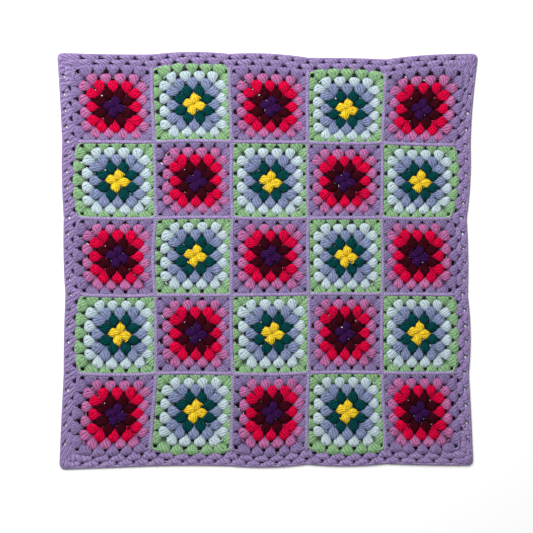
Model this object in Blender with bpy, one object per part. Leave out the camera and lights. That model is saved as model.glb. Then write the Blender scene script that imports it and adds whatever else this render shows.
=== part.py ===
"""A crochet blanket of granny squares, laid out flat: twenty-five panels, the seams that join
them and a border of two rounds.

Metres, +Z up. The blanket rests on z = 0 and its middle is at the origin. The panels are counted
in rows from the far edge (+Y) and in columns from the left (-X).
"""

import math

import bmesh
import bpy

# Driving sizes
MM = 0.001
SIDE = 5  # panels along each side of the blanket
PITCH = 136 * MM  # from one seam to the next
SEAM_WIDTH = 5 * MM
CLEARANCE = 0.3 * MM  # between neighbouring pieces
HOLE_WIDTH = 5 * MM  # along the round that the hole is in
CLUSTERS = 5  # of the border, for each panel that they run past

# Heights of the surface above the floor, in mm
RIDGE = 5.0
GROOVE = 3.4
RIM = 3.2
SEAM_EDGE = 3.2
SEAM_RIDGE = 5.4

# How the blanket lies: the seam crossings, in mm to the right of an even grid of squares.
# Columns: left edge, the four upright seams, right edge. Rows: from the far edge to the near edge.
CROSSING_RIGHT = (
    (-7, -4, -1, 2, 5, 7),
    (1, 1, 3, 2, -2, -9),
    (2, 4, 4, 2, -3, -15),
    (6, 3, 2, 4, -2, -11),
    (2, 4, 5, 3, -2, -8),
    (-9, -7, 2, 0, 4, 2),
)
# The same crossings, in mm further from the near edge than the even grid.
CROSSING_UP = (
    (-1, -3, -1, -9, -13, -4),
    (3, 2, 3, 2, 1, -3),
    (4, 3, 4, 3, 4, 3),
    (3, 2, 2, 4, 4, 3),
    (-1, -1, -2, 0, 0, 0),
    (-7, -1, -3, 1, 0, -1),
)
# How far an upright seam line bows to the right halfway past a panel, in mm.
# Columns: left edge, the four upright seams, right edge. Rows: the rows of panels.
UPRIGHT_BOW = (
    (-5, -1, -1, -1, 0, 3),
    (-7, 0, -2, 0, 1, 8),
    (-9, -5, -1, -1, 2, 8),
    (-6, 0, -2, 1, -1, 5),
    (-3, 0, 0, -1, 0, -1),
)
# How far a level seam line bows to the far side halfway past a panel, in mm.
# Columns: the columns of panels. Rows: far edge, the four level seams, near edge.
LEVEL_BOW = (
    (3, 6, 4, 5, 6),
    (0, 2, 0, -2, -1),
    (-2, 1, -2, 0, -2),
    (-2, 0, 0, 0, 0),
    (-3, 1, -2, 1, -1),
    (-6, -5, -10, -8, -5),
)
# The outline. width: of the border at the six crossings along a side, in mm.
# bow: how far the outline swells out between them, in mm. out: the way out of the blanket.
# Each side runs on from the one before, clockwise from the left end of the far edge.
EDGES = (
    {"side": "far", "out": (0, 1), "width": (26, 25, 24, 25, 26, 27), "bow": (-1, 4, 4, 1, 3)},
    {"side": "right", "out": (1, 0), "width": (25, 27, 26, 24, 23, 21), "bow": (-3, 3, 2, 4, 0)},
    {"side": "near", "out": (0, -1), "width": (27, 25, 27, 26, 28, 28), "bow": (1, 4, 4, -1, 0)},
    {"side": "left", "out": (-1, 0), "width": (23, 26, 27, 26, 28, 29), "bow": (0, 1, 2, 2, -1)},
)

# The lines of a panel's surface from its middle out, a ridge for each of the five rounds.
# reach: share of the panel's half side. corner: 0.71 draws a circle, 1 a square.
# paired: two points a hole's width apart at each of the eight places, where one would do.
PANEL_LINES = (
    {"line": "round 1", "reach": 0.19, "corner": 0.74, "height": RIDGE, "paired": False},
    {"line": "groove 1", "reach": 0.28, "corner": 0.76, "height": GROOVE, "paired": False},
    {"line": "round 2", "reach": 0.37, "corner": 0.78, "height": RIDGE, "paired": True},
    {"line": "hole in", "reach": 0.44, "corner": 0.80, "height": GROOVE, "paired": True},
    {"line": "hole out", "reach": 0.52, "corner": 0.82, "height": GROOVE, "paired": True},
    {"line": "round 3", "reach": 0.59, "corner": 0.84, "height": RIDGE, "paired": True},
    {"line": "groove 3", "reach": 0.67, "corner": 0.87, "height": GROOVE, "paired": False},
    {"line": "round 4", "reach": 0.75, "corner": 0.90, "height": RIDGE, "paired": False},
    {"line": "groove 4", "reach": 0.83, "corner": 0.94, "height": GROOVE, "paired": False},
    {"line": "round 5", "reach": 0.92, "corner": 0.97, "height": RIDGE, "paired": False},
    {"line": "rim", "reach": 1.00, "corner": 1.00, "height": RIM, "paired": False},
)
MIDDLE_HEIGHT = 3.8

# The lines of the border's surface from the panels out. across: share of the border's width.
BORDER_LINES = (
    {"line": "inner rim", "across": 0.00, "height": RIM},
    {"line": "round 1", "across": 0.22, "height": RIDGE},
    {"line": "hole in", "across": 0.39, "height": GROOVE},
    {"line": "hole out", "across": 0.60, "height": GROOVE},
    {"line": "round 2", "across": 0.78, "height": RIDGE},
    {"line": "outer rim", "across": 1.00, "height": RIM},
)

# Finishes, each a yarn: red, green and blue as the renderer takes them
LILAC_YARN = {"name": "yarn_lilac", "colour": (0.37, 0.26, 0.55), "roughness": 0.9}
GREEN_YARN = {"name": "yarn_light_green", "colour": (0.36, 0.58, 0.28), "roughness": 0.9}

# The eight places of a round, clockwise from the far side: (right, near side)
PLACES = ((0, -1), (1, -1), (1, 0), (1, 1), (0, 1), (-1, 1), (-1, 0), (-1, -1))
DIAGONAL = 0.5**0.5
ALL_ROUND = SIDE * len(EDGES)  # panels along the four sides together
SAME_PLACE = 1e-9  # two places on a loop nearer than this are one


def crossing(column, row):
    """The seam crossing at the end of that column and row of seam lines, as (x, y)."""
    x = (column - SIDE / 2) * PITCH + CROSSING_RIGHT[row][column] * MM
    y = (SIDE / 2 - row) * PITCH + CROSSING_UP[row][column] * MM
    return x, y


def halfway(t):
    """0 at both ends of a panel's side and 1 in its middle, in two straight runs."""
    return 1 - abs(2 * t - 1)


def blend(a, b, t):
    return a + (b - a) * t


def lie(u, v):
    """Where the point u panels from the left edge and v panels from the far edge lies."""
    column = min(max(int(u), 0), SIDE - 1)
    row = min(max(int(v), 0), SIDE - 1)
    s, t = u - column, v - row
    far = [blend(a, b, s) for a, b in zip(crossing(column, row), crossing(column + 1, row))]
    near = [
        blend(a, b, s) for a, b in zip(crossing(column, row + 1), crossing(column + 1, row + 1))
    ]
    bow_right = blend(UPRIGHT_BOW[row][column], UPRIGHT_BOW[row][column + 1], s) * halfway(t)
    bow_up = blend(LEVEL_BOW[row][column], LEVEL_BOW[row + 1][column], t) * halfway(s)
    return blend(far[0], near[0], t) + bow_right * MM, blend(far[1], near[1], t) + bow_up * MM


def rim_place(along):
    """Where a place on the panels' outer edge is: (u, v), its side and how far along the side.

    along counts panels clockwise round the blanket from the left end of the far edge.
    """
    side, t = divmod(along % ALL_ROUND, SIDE)
    side = int(side)
    ways = ((t, 0), (SIDE, t), (SIDE - t, SIDE), (0, SIDE - t))
    return ways[side], side, t


def outline(along):
    """A point of the blanket's outline: out from the straight line between two crossings."""
    _, side, t = rim_place(along)
    edge = EDGES[side]
    span = int(t)
    f = t - span
    start, stop = (lie(*rim_place(side * SIDE + end)[0]) for end in (span, span + 1))
    swell = edge["bow"][span] * 4 * f * (1 - f)
    out = (blend(edge["width"][span], edge["width"][span + 1], f) + swell) * MM
    before = EDGES[side - 1]
    after = EDGES[(side + 1) % len(EDGES)]
    lean_back = before["width"][-1] * MM * max(0, 1 - t)
    lean_on = after["width"][0] * MM * max(0, t - (SIDE - 1))
    return tuple(
        blend(start[k], stop[k], f)
        + out * edge["out"][k]
        + lean_back * before["out"][k]
        + lean_on * after["out"][k]
        for k in (0, 1)
    )


def middle_of_outline():
    """The middle of the box round the outline, which goes to the origin."""
    points = [outline(along) for along in border_places("outer rim")]
    return [(min(p[k] for p in points) + max(p[k] for p in points)) / 2 for k in (0, 1)]


def border_places(line):
    """Where the points of one of the border's lines are, in panels round the blanket."""
    holes = [k / CLUSTERS for k in range(ALL_ROUND * CLUSTERS)]
    if line.startswith("hole"):
        half = HOLE_WIDTH / PITCH / 2
        return [place for hole in holes for place in (hole - half, hole + half)]
    bars = [hole + 0.5 / CLUSTERS for hole in holes]
    corners = range(ALL_ROUND) if line == "inner rim" else range(0, ALL_ROUND, SIDE)
    return sorted([*bars, *corners])


class Skin:
    """The surface of one piece as it is made: its points, its faces and its loops of points."""

    def __init__(self):
        self.points = []
        self.faces = []

    def loop(self, places, points):
        """Adds a closed loop, as [(place from 0 to 1 round it, number of its point)]."""
        first = len(self.points)
        self.points += points
        return [(place, first + k) for k, place in enumerate(places)]

    def join(self, a, b, holes=False):
        """Fills the ring between two loops. Where both turn a corner together it makes a
        four-sided face. With holes, every second such face is left out and returned."""
        left_out = []
        a = [*a, (a[0][0] + 1, a[0][1])]
        b = [*b, (b[0][0] + 1, b[0][1])]
        i = j = 0
        while i < len(a) - 1 or j < len(b) - 1:
            next_a = a[i + 1][0] if i < len(a) - 1 else math.inf
            next_b = b[j + 1][0] if j < len(b) - 1 else math.inf
            if abs(next_a - next_b) < SAME_PLACE:
                face = (a[i][1], a[i + 1][1], b[j + 1][1], b[j][1])
                is_hole = holes and i % 2 == 0
                i += 1
                j += 1
                if is_hole:
                    left_out.append(face)
                    continue
            elif next_a < next_b:
                face = (a[i][1], a[i + 1][1], b[j][1])
                i += 1
            else:
                face = (a[i][1], b[j + 1][1], b[j][1])
                j += 1
            face = tuple(dict.fromkeys(face))
            if len(face) > 2:
                self.faces.append(face)
        return left_out

    def wall(self, top, bottom):
        """The sides of a hole, between its outlines on the surface and on the underside."""
        for k in range(4):
            n = (k + 1) % 4
            self.faces.append((top[k], top[n], bottom[n], bottom[k]))

    def object(self, name, finish):
        """Makes the object, every face pointing out."""
        mesh = bpy.data.meshes.new(name)
        mesh.from_pydata(self.points, [], self.faces)
        shape = bmesh.new()
        shape.from_mesh(mesh)
        bmesh.ops.recalc_face_normals(shape, faces=shape.faces)
        bmesh.ops.triangulate(shape, faces=shape.faces)
        shape.to_mesh(mesh)
        shape.free()
        mesh.materials.append(yarn(finish))
        made = bpy.data.objects.new(name, mesh)
        bpy.context.scene.collection.objects.link(made)
        return made


def yarn(finish):
    """The plain material of a yarn, made once."""
    material = bpy.data.materials.get(finish["name"])
    if material is None:
        material = bpy.data.materials.new(finish["name"])
        material.use_nodes = True
        shader = material.node_tree.nodes["Principled BSDF"]
        shader.inputs["Base Color"].default_value = (*finish["colour"], 1)
        shader.inputs["Roughness"].default_value = finish["roughness"]
        shader.inputs["Metallic"].default_value = 0
    return material


def slab(skin, top, bottom, holes_in):
    """Fills the surface, the underside and the walls of the holes between them.

    top and bottom are loops from the inside out, and holes_in the numbers of the loops, in each
    of the two, that the row of holes starts at.
    """
    walls = []
    for loops, start in ((top, holes_in[0]), (bottom, holes_in[1])):
        for k in range(len(loops) - 1):
            walls.append(skin.join(loops[k], loops[k + 1], holes=k == start))
    for above, below in zip(*[holes for holes in walls if holes]):
        skin.wall(above, below)
    skin.join(top[-1], bottom[-1])


def panel_inset(line):
    """How far a panel stops short of the seam line of that number, in panels."""
    at_edge = line in (0, SIDE)
    return (CLEARANCE if at_edge else SEAM_WIDTH / 2 + CLEARANCE) / PITCH


def panel_loop(skin, line, height, row, column, centre):
    """One line round a panel: eight points, or eight pairs of points."""
    low_u, high_u = panel_inset(column), 1 - panel_inset(column + 1)
    low_v, high_v = panel_inset(row), 1 - panel_inset(row + 1)
    half = HOLE_WIDTH / PITCH  # half a hole's width, as a share of the panel's half side
    places, points = [], []
    for k, (right, near) in enumerate(PLACES):
        at_corner = right != 0 and near != 0
        reach = line["reach"] * (line["corner"] if at_corner else 1)
        turn = DIAGONAL if at_corner else 1
        for step in (-1, 1) if line["paired"] else (0,):
            a = reach * right - step * half * turn * near
            b = reach * near + step * half * turn * right
            u = column + blend(low_u, high_u, (1 + a) / 2)
            v = row + blend(low_v, high_v, (1 + b) / 2)
            x, y = lie(u, v)
            places.append((k + step * half) / len(PLACES))
            points.append((x - centre[0], y - centre[1], height * MM))
    return skin.loop(places, points)


def make_panel(row, column, centre):
    """A granny square: five ridges round a flower, and eight see-through gaps."""
    skin = Skin()
    x, y = lie(column + 0.5, row + 0.5)
    hubs = [
        skin.loop([0], [(x - centre[0], y - centre[1], height * MM)])
        for height in (MIDDLE_HEIGHT, 0)
    ]
    top = [hubs[0]]
    bottom = [hubs[1]]
    for line in PANEL_LINES:
        top.append(panel_loop(skin, line, line["height"], row, column, centre))
    for line in PANEL_LINES:
        if line["line"] in ("hole in", "hole out", "rim"):
            bottom.append(panel_loop(skin, line, 0, row, column, centre))
    names = [line["line"] for line in PANEL_LINES]
    slab(skin, top, bottom, (1 + names.index("hole in"), 1))
    finish = LILAC_YARN if (row + column) % 2 == 0 else GREEN_YARN
    skin.object(f"panel_{row + 1}_{column + 1}", finish)


def border_loop(skin, line, height, centre):
    """One line round the border, between the panels' edge and the outline."""
    places = border_places(line["line"])
    points = []
    for along in places:
        inner = lie(*rim_place(along)[0])
        x, y = (blend(a, b, line["across"]) for a, b in zip(inner, outline(along)))
        points.append((x - centre[0], y - centre[1], height * MM))
    return skin.loop([place / ALL_ROUND for place in places], points)


def make_border(centre):
    """The border: two ridged rounds with a row of see-through gaps between them."""
    skin = Skin()
    top = [border_loop(skin, line, line["height"], centre) for line in BORDER_LINES]
    bottom = [
        border_loop(skin, line, 0, centre)
        for line in BORDER_LINES
        if not line["line"].startswith("round")
    ]
    names = [line["line"] for line in BORDER_LINES]
    slab(skin, top, bottom, (names.index("hole in"), 1))
    skin.join(top[0], bottom[0])
    skin.object("border", LILAC_YARN)


def make_seam(name, stations, across, centre):
    """A seam: a low roof-shaped ridge along the stations, flat underneath.

    stations are the (u, v) of its line, and across the step from one side to the other.
    """
    skin = Skin()
    profile = (
        (-0.5, 0),
        (0, 0),
        (0.5, 0),
        (0.5, SEAM_EDGE),
        (0, SEAM_RIDGE),
        (-0.5, SEAM_EDGE),
    )
    rings = []
    for u, v in stations:
        first = len(skin.points)
        for side, height in profile:
            x, y = lie(u + side * across[0], v + side * across[1])
            skin.points.append((x - centre[0], y - centre[1], height * MM))
        rings.append(list(range(first, len(skin.points))))
    for a, b in zip(rings, rings[1:]):
        for k in range(len(profile)):
            n = (k + 1) % len(profile)
            skin.faces.append((a[k], a[n], b[n], b[k]))
    for low, middle, high, high_top, ridge, low_top in (rings[0], rings[-1]):
        skin.faces += [(low, middle, ridge, low_top), (middle, high, high_top, ridge)]
    skin.object(name, LILAC_YARN)


def make_seams(centre):
    """Four upright seams from edge to edge, and level ones between them."""
    width = SEAM_WIDTH / PITCH
    for line in range(1, SIDE):
        ends = [CLEARANCE / PITCH, SIDE - CLEARANCE / PITCH]
        inner = [k / 2 for k in range(1, SIDE * 2)]
        stations = [(line, v) for v in (ends[0], *inner, ends[1])]
        make_seam(f"seam_upright_{line}", stations, (width, 0), centre)
        for column in range(SIDE):
            left = column + panel_inset(column)
            right = column + 1 - panel_inset(column + 1)
            stations = [(u, line) for u in (left, column + 0.5, right)]
            make_seam(f"seam_level_{line}_{column + 1}", stations, (0, width), centre)


def clear_scene():
    for old in list(bpy.data.objects):
        bpy.data.objects.remove(old, do_unlink=True)


def main():
    clear_scene()
    centre = middle_of_outline()
    for row in range(SIDE):
        for column in range(SIDE):
            make_panel(row, column, centre)
    make_seams(centre)
    make_border(centre)


main()
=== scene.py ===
# %% [markdown]
# The blanket is twenty-five granny squares, joined by ridged seams and edged with two rounds of
# clusters. The solids that it is built around are loaded first and never moved: everything made here
# lies where they lie, in metres, with +Z up.

# %% Load the fixed frame
import math

import bpy
import numpy as np
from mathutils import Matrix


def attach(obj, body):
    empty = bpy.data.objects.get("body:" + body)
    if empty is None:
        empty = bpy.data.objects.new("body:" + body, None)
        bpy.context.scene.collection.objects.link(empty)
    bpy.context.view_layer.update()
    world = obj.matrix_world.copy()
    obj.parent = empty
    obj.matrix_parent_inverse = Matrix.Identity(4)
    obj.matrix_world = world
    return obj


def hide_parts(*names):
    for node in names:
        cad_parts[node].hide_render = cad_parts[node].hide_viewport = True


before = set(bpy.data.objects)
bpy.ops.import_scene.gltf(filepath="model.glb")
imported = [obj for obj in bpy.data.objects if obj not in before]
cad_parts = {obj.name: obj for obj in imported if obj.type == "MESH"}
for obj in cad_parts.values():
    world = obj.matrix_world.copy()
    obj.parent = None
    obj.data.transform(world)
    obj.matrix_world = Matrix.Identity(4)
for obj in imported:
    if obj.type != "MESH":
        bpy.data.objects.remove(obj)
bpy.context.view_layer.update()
MM = 0.001

# %% [markdown]
# A crocheted blanket never lies as an even grid. The joiner's tension and the block that it dried on
# pull each crossing of two seams a few millimetres out of place. One could bend a finished flat
# blanket with a lattice, but a few small tables and a formula say exactly how this one lies, and every
# stitch can then be worked on an even grid and laid in place at the end.

# %% Where the seams cross and how they bow
SIDE = 5  # squares along each side
PITCH = 136.0  # mm from one seam to the next
ALL_ROUND = 4 * SIDE
# The seam crossings, in mm to the right of an even grid. Columns: left edge, the four upright seams,
# right edge. Rows: from the far edge to the near edge.
CROSSING_RIGHT = np.array([
    (-7, -4, -1, 2, 5, 7),
    (1, 1, 3, 2, -2, -9),
    (2, 4, 4, 2, -3, -15),
    (6, 3, 2, 4, -2, -11),
    (2, 4, 5, 3, -2, -8),
    (-9, -7, 2, 0, 4, 2),
])
# The same crossings, in mm further from the near edge than the even grid.
CROSSING_UP = np.array([
    (-1, -3, -1, -9, -13, -4),
    (3, 2, 3, 2, 1, -3),
    (4, 3, 4, 3, 4, 3),
    (3, 2, 2, 4, 4, 3),
    (-1, -1, -2, 0, 0, 0),
    (-7, -1, -3, 1, 0, -1),
])
# How far an upright seam bows to the right halfway past a square, in mm. Columns: left edge, the four
# upright seams, right edge. Rows: the rows of squares.
UPRIGHT_BOW = np.array([
    (-5, -1, -1, -1, 0, 3),
    (-7, 0, -2, 0, 1, 8),
    (-9, -5, -1, -1, 2, 8),
    (-6, 0, -2, 1, -1, 5),
    (-3, 0, 0, -1, 0, -1),
])
# How far a level seam bows to the far side halfway past a square, in mm. Columns: the columns of
# squares. Rows: far edge, the four level seams, near edge.
LEVEL_BOW = np.array([
    (3, 6, 4, 5, 6),
    (0, 2, 0, -2, -1),
    (-2, 1, -2, 0, -2),
    (-2, 0, 0, 0, 0),
    (-3, 1, -2, 1, -1),
    (-6, -5, -10, -8, -5),
])
level, upright = np.indices((SIDE + 1, SIDE + 1))
crossing_x = (upright - SIDE / 2) * PITCH + CROSSING_RIGHT
crossing_y = (SIDE / 2 - level) * PITCH + CROSSING_UP
CROSSINGS = np.stack([crossing_x, crossing_y], axis=-1)
print("crossings pulled out of place by up to", np.abs([CROSSING_RIGHT, CROSSING_UP]).max(), "mm")


# %% Where a place in a square lies
def blend(a, b, t):
    """From a at t = 0 to b at t = 1 in a straight line."""
    return a + (b - a) * t


def bow(t):
    """A parabola that is 0 at t = 0 and t = 1, and 1 halfway."""
    return 4 * t * (1 - t)


def lie(u, v):
    """Where a place u squares from the left edge and v squares from the far edge lies, in mm.

    Inside a square it is the straight blend of the four crossings, plus the bows of its four sides,
    each a parabola that is nothing at the crossings and fades out towards the opposite side.
    """
    column = np.clip(np.floor(u), 0, SIDE - 1).astype(int)
    row = np.clip(np.floor(v), 0, SIDE - 1).astype(int)
    s, t = u - column, v - row
    far = blend(CROSSINGS[row, column], CROSSINGS[row, column + 1], s[..., None])
    near = blend(CROSSINGS[row + 1, column], CROSSINGS[row + 1, column + 1], s[..., None])
    right = blend(UPRIGHT_BOW[row, column], UPRIGHT_BOW[row, column + 1], s) * bow(t)
    up = blend(LEVEL_BOW[row, column], LEVEL_BOW[row + 1, column], t) * bow(s)
    return blend(far, near, t[..., None]) + np.stack([right, up], axis=-1)


half = np.array([SIDE / 2])
print("the middle of the middle square, in mm:", np.round(lie(half, half)[0], 2))

# %% [markdown]
# The border is not equally wide all round, and its edge swells and draws in. The solids follow the
# same outline, so it is worked out once more from the same sizes instead of being read off them.

# %% The blanket's outline
# The border's width at the six crossings along a side, and how far the outline swells between them,
# in mm. Rows: far, right, near and left side, each from its clockwise start.
BORDER_WIDTH = np.array([
    (26, 25, 24, 25, 26, 27),
    (25, 27, 26, 24, 23, 21),
    (27, 25, 27, 26, 28, 28),
    (23, 26, 27, 26, 28, 29),
])
OUTLINE_BOW = np.array([
    (-1, 4, 4, 1, 3),
    (-3, 3, 2, 4, 0),
    (1, 4, 4, -1, 0),
    (0, 1, 2, 2, -1),
])
OUT = np.array([(0, 1), (1, 0), (0, -1), (-1, 0)])  # the way out of the blanket on each side


def rim(along):
    """The (u, v) of a place on the squares' outer edge, counted in squares clockwise from the far
    left corner."""
    side, t = np.divmod(along % ALL_ROUND, SIDE)
    side = side.astype(int)
    end = np.full_like(t, SIDE)
    u = np.choose(side, [t, end, SIDE - t, 0 * t])
    v = np.choose(side, [0 * t, t, end, SIDE - t])
    return u, v


def outline(along):
    """The blanket's outline beside a place on the squares' outer edge, in mm.

    It stands off the straight line between two crossings by the border's width and a parabola, and
    within a square of a corner it also leans out over the next side, so that the corner is filled.
    """
    side, t = np.divmod(along % ALL_ROUND, SIDE)
    side = side.astype(int)
    span = t.astype(int)
    f = t - span
    start = lie(*rim(side * SIDE + span + 0.0))
    stop = lie(*rim(side * SIDE + span + 1.0))
    width = blend(BORDER_WIDTH[side, span], BORDER_WIDTH[side, span + 1], f)
    width = width + OUTLINE_BOW[side, span] * bow(f)
    back = BORDER_WIDTH[side - 1, SIDE] * np.clip(1 - t, 0, 1) ** 2
    on = BORDER_WIDTH[(side + 1) % 4, 0] * np.clip(t - SIDE + 1, 0, 1) ** 2
    edge = blend(start, stop, f[..., None]) + width[..., None] * OUT[side]
    return edge + back[..., None] * OUT[side - 1] + on[..., None] * OUT[(side + 1) % 4]


CLUSTER_STEP = 0.2  # squares from one cluster of the border to the next
between = np.arange(CLUSTER_STEP / 2, ALL_ROUND, CLUSTER_STEP)
outer_line = outline(np.sort(np.append(between, np.arange(0.0, ALL_ROUND, SIDE))))
MIDDLE = (outer_line.min(axis=0) + outer_line.max(axis=0)) / 2
print("outline, in mm:", np.round(outer_line.max(axis=0) - outer_line.min(axis=0), 1))

# %% [markdown]
# Everything in crochet is one thing, yarn, so one maker of shapes serves the whole blanket: a strand,
# which is a row of rings along a path. A fat flat one makes the body of a cluster too. Curves with a
# round bevel would give the same tubes one at a time. Thousands are needed, so whole batches are
# worked out together as arrays, with a point to close each end. The UV counts turns round the strand
# and millimetres along it, because the plies of the yarn are drawn on it later.


# %% The faces and the UV of a strand
def strand_faces(rings, sides):
    """One strand's faces as corner numbers: four-sided ones from ring to ring, and at each end a fan
    of triangles to a point beyond the ring. The first fan's point comes after the last ring."""
    k = np.arange(sides)
    n = (k + 1) % sides
    r = np.arange(rings - 1)[:, None] * sides
    quads = np.stack([r + k, r + sides + k, r + sides + n, r + n], axis=-1).reshape(-1, 4)
    last = (rings - 1) * sides
    point = rings * sides
    start_fan = np.stack([np.full(sides, point), k, n], axis=-1)
    end_fan = np.stack([np.full(sides, point + 1), last + n, last + k], axis=-1)
    return quads, np.concatenate([start_fan, end_fan])


def strand_uv(path, sides, plies):
    """The UV at each face's corners, in the faces' order: (turns round the strand, mm along it),
    times plies."""
    count, rings, _ = path.shape
    step = np.linalg.norm(np.diff(path, axis=1), axis=-1)
    length = np.concatenate([np.zeros((count, 1)), np.cumsum(step, axis=1)], axis=1)
    k = np.arange(sides)
    around = np.broadcast_to(np.stack([k, k, k + 1, k + 1], axis=-1), (count, rings - 1, sides, 4))
    start, stop = length[:, :-1, None, None], length[:, 1:, None, None]
    along = np.concatenate([start, stop, stop, start], axis=-1).repeat(sides, axis=2)
    fans = [np.stack([k + 0.5, k, k + 1], axis=-1), np.stack([k + 0.5, k + 1, k], axis=-1)]
    fans = np.tile(np.ravel(fans), (count, 1))
    ends = np.repeat(length[:, [0, -1]], 3 * sides, axis=1)
    u = np.concatenate([around.reshape(count, -1), fans], axis=1) / sides
    v = np.concatenate([along.reshape(count, -1), ends], axis=1)
    return np.stack([u, v], axis=-1) * plies


print("faces of 3 rings with 5 sides:", [len(faces) for faces in strand_faces(3, 5)])

# %% A batch of strands
ROUND_END = 0.7  # how far an end's point lies beyond its ring, in half thicknesses of the strand
UNDER = -0.4  # a ring's point is on the underside where the sine of its angle is less than this
UNDER_TONE = 0.5  # the least tone of the underside, which no hole darkens


def strand_batch(path, wide, high, sides, tone, finish, plies=(1.0, 1.0)):
    """A batch of closed strands.

    path is (strands, rings, 3) in mm. Each ring is an ellipse, wide across the path and level,
    high at right angles to both. The ends close on a point just beyond the last ring. tone, for
    each strand or each of its rings, is painted light and shade: 0 for yarn painted in shade, 1 for
    yarn in full light, and less than 0 for yarn painted nearly black down in a hole. finish counts
    the object's yarns.
    """
    path = np.asarray(path, float)
    count, rings, _ = path.shape
    ahead = np.gradient(path, axis=1)
    ahead /= np.linalg.norm(ahead, axis=-1, keepdims=True)
    across = np.cross(ahead, (0.0, 0.0, 1.0))
    across /= np.linalg.norm(across, axis=-1, keepdims=True)
    above = np.cross(across, ahead)
    angle = 2 * math.pi * np.arange(sides) / sides
    wide = np.broadcast_to(wide, (count, rings))[..., None]
    high = np.broadcast_to(high, (count, rings))[..., None]
    ring = (
        path[:, :, None]
        + (wide * np.cos(angle))[..., None] * across[:, :, None]
        + (high * np.sin(angle))[..., None] * above[:, :, None]
    )
    beyond = ROUND_END * ahead[:, [0, -1]] * high[:, [0, -1]] * [[-1], [1]]
    points = np.concatenate([ring.reshape(count, -1, 3), path[:, [0, -1]] + beyond], axis=1)
    tone = np.broadcast_to(np.reshape(tone, (-1, 1)) if np.ndim(tone) == 1 else tone, (count, rings))
    under = np.maximum(tone, UNDER_TONE)[..., None]
    around = np.where(np.sin(angle) > UNDER, tone[..., None], under)
    quads, fans = strand_faces(rings, sides)
    return {
        "points": points,
        "quads": quads,
        "fans": fans,
        "uv": strand_uv(path, sides, plies),
        "tone": np.concatenate([around.reshape(count, -1), tone[:, [0, -1]]], axis=1),
        "finish": finish,
    }


one_loop = strand_batch([[(0, 0, 2), (2, 0, 3), (4, 0, 2)]], 1.0, 1.0, 5, 0.5, 0)
print("points of 3 rings with 5 sides:", one_loop["points"].shape[1])


# %% One object of many strands
def yarn_object(name, batches, finishes, place):
    """One object of many batches of strands. place turns the batches' mm into the blanket's lie."""
    corners, sizes, slots = [], [], []
    total = 0
    for b in batches:
        count, per, _ = b["points"].shape
        base = total + per * np.arange(count)[:, None, None]
        both = [(base + b[faces]).reshape(count, -1) for faces in ("quads", "fans")]
        corners.append(np.concatenate(both, axis=1).ravel())
        one = np.repeat((4, 3), (len(b["quads"]), len(b["fans"])))
        sizes.append(np.tile(one, count))
        slots.append(np.full(len(one) * count, b["finish"]))
        total += per * count
    sizes = np.concatenate(sizes)
    flat = np.concatenate([b["points"].reshape(-1, 3) for b in batches])
    spot = np.column_stack([place(flat) - MIDDLE, flat[:, 2]]) * MM
    mesh = bpy.data.meshes.new(name)
    mesh.vertices.add(len(spot))
    mesh.vertices.foreach_set("co", spot.ravel())
    mesh.loops.add(int(sizes.sum()))
    mesh.loops.foreach_set("vertex_index", np.concatenate(corners))
    mesh.polygons.add(len(sizes))
    mesh.polygons.foreach_set("loop_start", np.cumsum(sizes) - sizes)
    mesh.polygons.foreach_set("material_index", np.concatenate(slots))
    mesh.polygons.foreach_set("use_smooth", np.ones(len(sizes), bool))
    mesh.update(calc_edges=True)
    uv = mesh.uv_layers.new(name="yarn")
    uv.data.foreach_set("uv", np.concatenate([b["uv"].ravel() for b in batches]))
    tone = mesh.attributes.new("tone", "FLOAT", "POINT")
    tone.data.foreach_set("value", np.concatenate([b["tone"].ravel() for b in batches]))
    for finish in finishes:
        mesh.materials.append(finish)
    mesh.validate()
    piece = bpy.data.objects.new(name, mesh)
    bpy.context.scene.collection.objects.link(piece)
    return piece


def triangles(piece):
    """How many triangles a piece has: a face of n corners holds n - 2."""
    return len(piece.data.loops) - 2 * len(piece.data.polygons)


# %% [markdown]
# The yarn is a soft acrylic of four plies, spun matt. To the eye it is a strong flat colour, the plies
# draw fine slanting lines along each strand, their grooves in painted shade, and tufts of loose fibre
# mottle it. Deep between the stitches hardly any light arrives, so shade is painted into the colour:
# the lower the yarn lies, the darker it is drawn. A picture of yarn could be wrapped round the strands,
# but a few nodes that read the strand's own UV draw plies that never repeat. The colours are written as
# one reads them off a shade card and turned to linear light by one function.


# %% Two helpers for materials
def linear(hex_colour):
    """An sRGB hex colour as linear red, green, blue and 1."""
    parts = [int(hex_colour[i : i + 2], 16) / 255 for i in (1, 3, 5)]
    return (*(c / 12.92 if c <= 0.04045 else ((c + 0.055) / 1.055) ** 2.4 for c in parts), 1.0)


def add_node(tree, kind, settings=None, links=None, values=None):
    """Adds a node, sets its properties and its inputs' values, and links its inputs."""
    node = tree.nodes.new(kind)
    for key, value in (settings or {}).items():
        setattr(node, key, value)
    for key, value in (values or {}).items():
        node.inputs[key].default_value = value
    for key, source in (links or {}).items():
        tree.links.new(source, node.inputs[key])
    return node


MATHS, RANGE, NOISE = "ShaderNodeMath", "ShaderNodeMapRange", "ShaderNodeTexNoise"
TIMES, TIMES_PLUS = {"operation": "MULTIPLY"}, {"operation": "MULTIPLY_ADD"}
print("lilac in linear light:", np.round(linear("#A28FBB"), 3))

# %% The plies
PLIES = 2.0  # grooves seen in one turn round a plain strand
PLY_LENGTH = 4.2  # mm along the strand for one ply's slant, coarser than life so that it shows
WANDER = 5.0  # mm, how far the plies run before they bend or close up
GROOVE = {"From Min": 0.06, "From Max": 0.30}  # of the wave, from a groove's painted shade to a ply's painted light
CLOSED = {"From Min": 0.54, "From Max": 0.66, "To Max": 0.85}  # of the noise, where plies close up


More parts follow.
